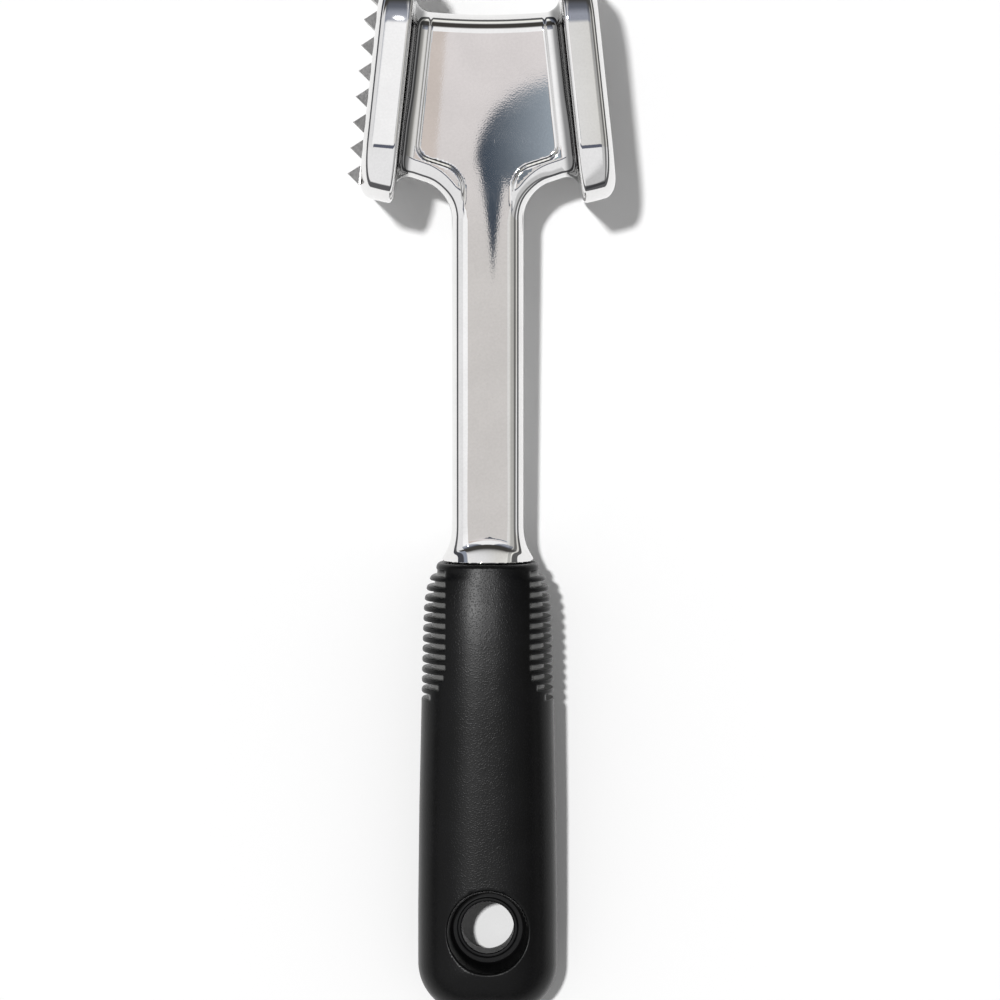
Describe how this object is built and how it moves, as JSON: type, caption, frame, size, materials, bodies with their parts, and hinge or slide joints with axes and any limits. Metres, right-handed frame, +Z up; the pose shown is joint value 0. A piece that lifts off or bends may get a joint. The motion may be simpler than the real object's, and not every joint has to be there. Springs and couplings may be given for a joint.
{
  "type": "meat mallet",
  "caption": "Double-faced meat mallet, studded and smooth, cast in one piece with its flat shaft, in a soft finned handle with a hanging hole.",
  "frame": {"origin": "centre of the tool's outline on the table it lies on", "axes": "+Z up from the table, +Y along the tool towards the head, +X towards the smooth striking face"},
  "size_m": [0.064, 0.2562, 0.0541],
  "materials": {
    "polished_aluminium": "polished die casting",
    "black_hard_plastic": "moulded, satin",
    "black_soft_rubber": "fine moulded grain, matte"
  },
  "bodies": {
    "root": {"cast_head_and_shaft": "polished_aluminium", "handle_core": "black_hard_plastic", "rubber_grip": "black_soft_rubber"}
  },
  "joints": []
}
